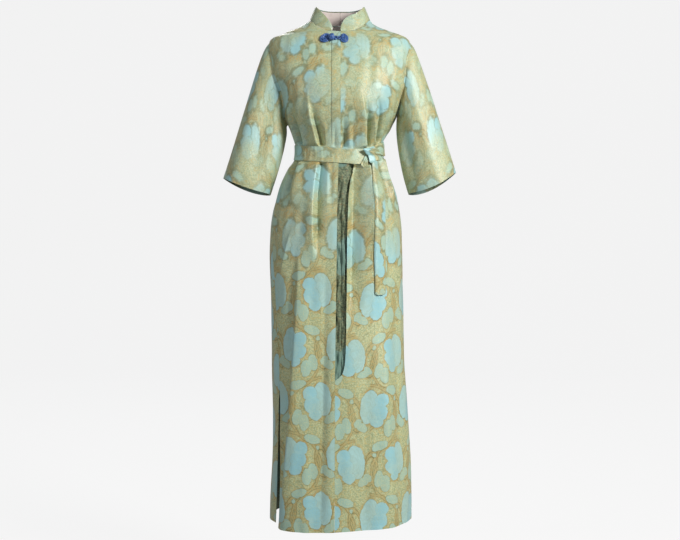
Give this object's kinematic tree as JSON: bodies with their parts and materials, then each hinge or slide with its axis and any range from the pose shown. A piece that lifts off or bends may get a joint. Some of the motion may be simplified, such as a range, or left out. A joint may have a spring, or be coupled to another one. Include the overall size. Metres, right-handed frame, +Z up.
{
  "type": "belted cheongsam dress",
  "caption": "Long hollow cheongsam in floral brocade, with stand collar, frog closure, flared sleeves, tied belt and side slits.",
  "frame": {"origin": "on the garment's middle line, level with the neck point of the shoulder seam, where the wearer's shoulders carry it", "axes": "+Z up along the wearer, -Y out of the front, +X to the wearer's left"},
  "size_m": [0.6237, 0.2865, 1.3917],
  "materials": {
    "brocade": "olive gold jacquard brocade with aqua flowers, satin sheen on the raised motifs",
    "brocade_wrong_side": "dark matte back of the brocade, flecked with brown floats",
    "lining": "pinkish beige plain lining with a faint sheen",
    "frog_satin": "royal blue satin cord, glossy"
  },
  "bodies": {
    "root": {"front_right": "brocade", "front_left": "brocade", "back": "brocade", "sleeve_right": "brocade", "sleeve_left": "brocade", "collar": "brocade", "belt": "brocade", "belt_knot": "brocade", "belt_end_over": "brocade", "belt_end_under": "brocade", "front_underlap": "brocade_wrong_side", "collar_lining": "lining", "neck_lining": "lining", "frog_pad_right": "frog_satin", "frog_pad_left": "frog_satin", "frog_ball": "frog_satin", "frog_loop": "frog_satin"}
  },
  "joints": []
}
